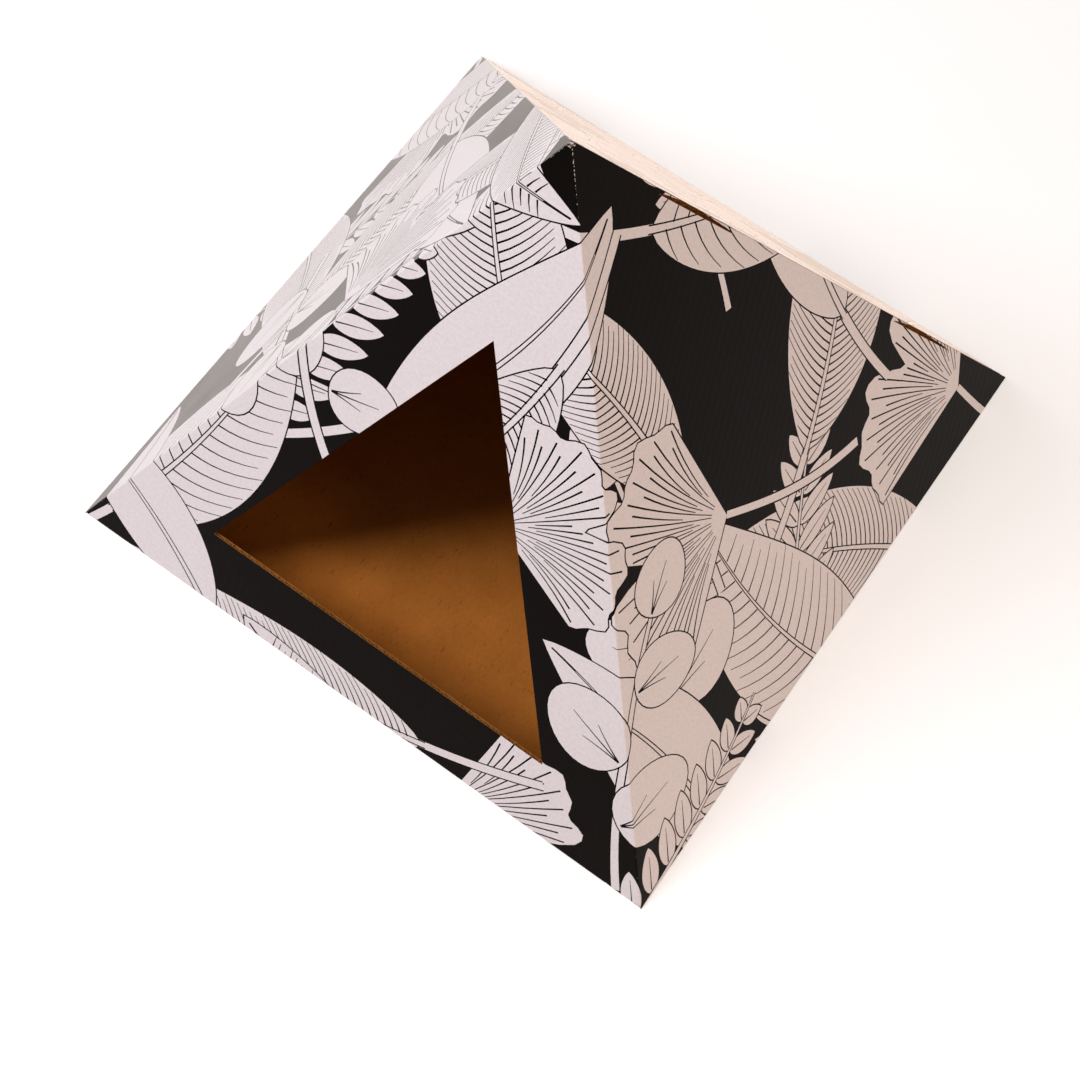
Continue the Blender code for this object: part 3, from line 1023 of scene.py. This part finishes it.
def peakCap():
    # the scrap of liner crushed together at the very tip, where the four walls meet
    top, apex = cadHigh[2], (front.toSheet.inverted() @ Vector((*peak, 0))).z
    shape = bmesh.new()
    wearLayer = shape.verts.layers.float.new("wear")
    uvLayer = shape.loops.layers.uv.new("sheet")
    rows, count = [], capLook["corners"]
    for drop, share in capLook["rows"]:
        half = cadHigh[0] * (1 - (top - drop) / apex) * share
        row = []
        for k in range(count):
            c, n = math.cos(math.tau * k / count), math.sin(math.tau * k / count)
            far = half / max(abs(c), abs(n)) ** capLook["square"]
            row.append(shape.verts.new((far * c, far * n, top - drop)))
        rows.append(row)
    tip = shape.verts.new((0, 0, top))
    for upper, lower in zip(rows[1:], rows):
        for k in range(count):
            shape.faces.new((lower[k - 1], lower[k], upper[k], upper[k - 1]))
    for k in range(count):
        shape.faces.new((rows[-1][k - 1], rows[-1][k], tip))
    for vert in shape.verts:
        vert[wearLayer] = capLook["wear"]
    for face in shape.faces:
        face.smooth = True
        for loop in face.loops:
            loop[uvLayer].uv = loop.vert.co.xy + Vector(peak)
    mesh = bpy.data.meshes.new("peak_liner")
    shape.to_mesh(mesh)
    shape.free()
    mesh.materials.append(ink)
    addPiece("peak_liner", mesh, "printed_board", "front_wall")


peakCap()


# Floor, light and camera.

floorLook = {
    "size": 12,
    "drop": 0.0005,
    "lit": "#DCD5CF",
    "seen": "#FBF9F8",
    "glow": 0.24,           # lifts the part under the lamps to white where the camera looks
    "mirroredGlow": 0.5,
    "fade": (1.0, 2.8),     # how far out it turns white by itself
}
# where each lamp is, its width in metres, its watts and its colour
lamps = {
    "window": ((-2.1, -1.5, 2.5), 1.4, 61, "#F8F5FF"),
    "ceiling": ((-0.9, -0.4, 2.7), 1.2, 29, "#FFFAF6"),
    "room": ((2.6, -0.4, 1.0), 1.4, 32, "#FFE0C8"),
}
lampAim = Vector((0, 0, 0.12))
skyLook = {
    "room": ("#F3EFEC", 0.2),
    "wall": ("#FFFFFF", 1.0),
}


def addFloor():
    # a pale floor; where the camera looks, or a gloss mirrors it, its lit part is white and its shadow stays
    material, tree = addMaterial("pale studio floor")
    rays = addNode(tree, "ShaderNodeLightPath").outputs
    mirrored = maths(tree, "MAXIMUM", rays["Is Glossy Ray"], rays["Is Transmission Ray"])
    seen = maths(tree, "MAXIMUM", rays["Is Camera Ray"], mirrored)
    colour = mixed(tree, seen, floorLook["lit"], floorLook["seen"])
    place = addNode(tree, "ShaderNodeTexCoord").outputs["Object"]
    away = addNode(tree, "ShaderNodeVectorMath", {"operation": "LENGTH"}, {"Vector": place}).outputs["Value"]
    far = maths(tree, "MULTIPLY", ranged(tree, away, *floorLook["fade"]), seen)
    near = maths(tree, "MAXIMUM", maths(tree, "MULTIPLY", rays["Is Camera Ray"], floorLook["glow"]),
                 maths(tree, "MULTIPLY", mirrored, floorLook["mirroredGlow"]))
    finish(tree, addNode(
        tree, "ShaderNodeBsdfPrincipled", {},
        {"Base Color": colour, "Emission Strength": maths(tree, "MAXIMUM", near, far)},
        Roughness=0.8, IOR=1.4, Emission_Color=toLinear("#FFFFFF")))
    mesh = bpy.data.meshes.new("studio_floor")
    size = floorLook["size"]
    corners = [(-size, -size, 0), (size, -size, 0), (size, size, 0), (-size, size, 0)]
    mesh.from_pydata(corners, [], [(0, 1, 2, 3)])
    mesh.materials.append(material)
    floor = bpy.data.objects.new("studio_floor", mesh)
    bpy.context.scene.collection.objects.link(floor)
    floor.location.z = -floorLook["drop"]


def addLamp(name, place, size, power, colour):
    lamp = bpy.data.lights.new(name, "AREA")
    lamp.shape, lamp.size, lamp.energy, lamp.color = "DISK", size, power, toLinear(colour)[:3]
    holder = bpy.data.objects.new(name, lamp)
    bpy.context.scene.collection.objects.link(holder)
    holder.location = place
    holder.rotation_euler = (lampAim - Vector(place)).to_track_quat("-Z", "Y").to_euler()


def addSky():
    # dim, warm room light; a white wall where the camera looks past the floor, or a gloss mirrors it
    world = bpy.data.worlds.new("studio")
    bpy.context.scene.world = world
    world.use_nodes = True
    tree = world.node_tree
    tree.nodes.clear()
    rays = addNode(tree, "ShaderNodeLightPath").outputs
    mirrored = maths(tree, "MAXIMUM", rays["Is Glossy Ray"], rays["Is Transmission Ray"])
    seen = maths(tree, "MAXIMUM", rays["Is Camera Ray"], mirrored)
    both = addNode(tree, "ShaderNodeMixShader", {}, {"Fac": seen})
    for socket, (colour, strength) in zip((1, 2), skyLook.values()):
        light = addNode(tree, "ShaderNodeBackground", {}, {}, Color=toLinear(colour), Strength=strength)
        tree.links.new(light.outputs["Background"], both.inputs[socket])
    addNode(tree, "ShaderNodeOutputWorld", {}, {"Surface": both.outputs["Shader"]})


addFloor()
addSky()
for name, settings in lamps.items():
    addLamp(name, *settings)
print("floor and light made")

cameraLook = {
    "place": (0.29670, -0.47060, 1.28647),
    "forward": (-0.21084817, 0.32230219, -0.92285662),
    "up": (-0.54068101, 0.74806536, 0.3847886),
    "lens": 64.3,
    "sensor": 36,
    "shiftY": -0.0667,
    "near": 0.05,
}


def addCamera():
    camera = bpy.data.objects.new("camera", bpy.data.cameras.new("camera"))
    bpy.context.scene.collection.objects.link(camera)
    back, up = -Vector(cameraLook["forward"]), Vector(cameraLook["up"])
    turn = Matrix((up.cross(back), up, back)).transposed().to_4x4()
    camera.matrix_world = Matrix.Translation(cameraLook["place"]) @ turn
    camera.data.lens, camera.data.sensor_width = cameraLook["lens"], cameraLook["sensor"]
    camera.data.shift_y = cameraLook["shiftY"]
    camera.data.clip_start = cameraLook["near"]
    bpy.context.scene.camera = camera


addCamera()
bpy.context.scene.view_settings.view_transform = "Standard"
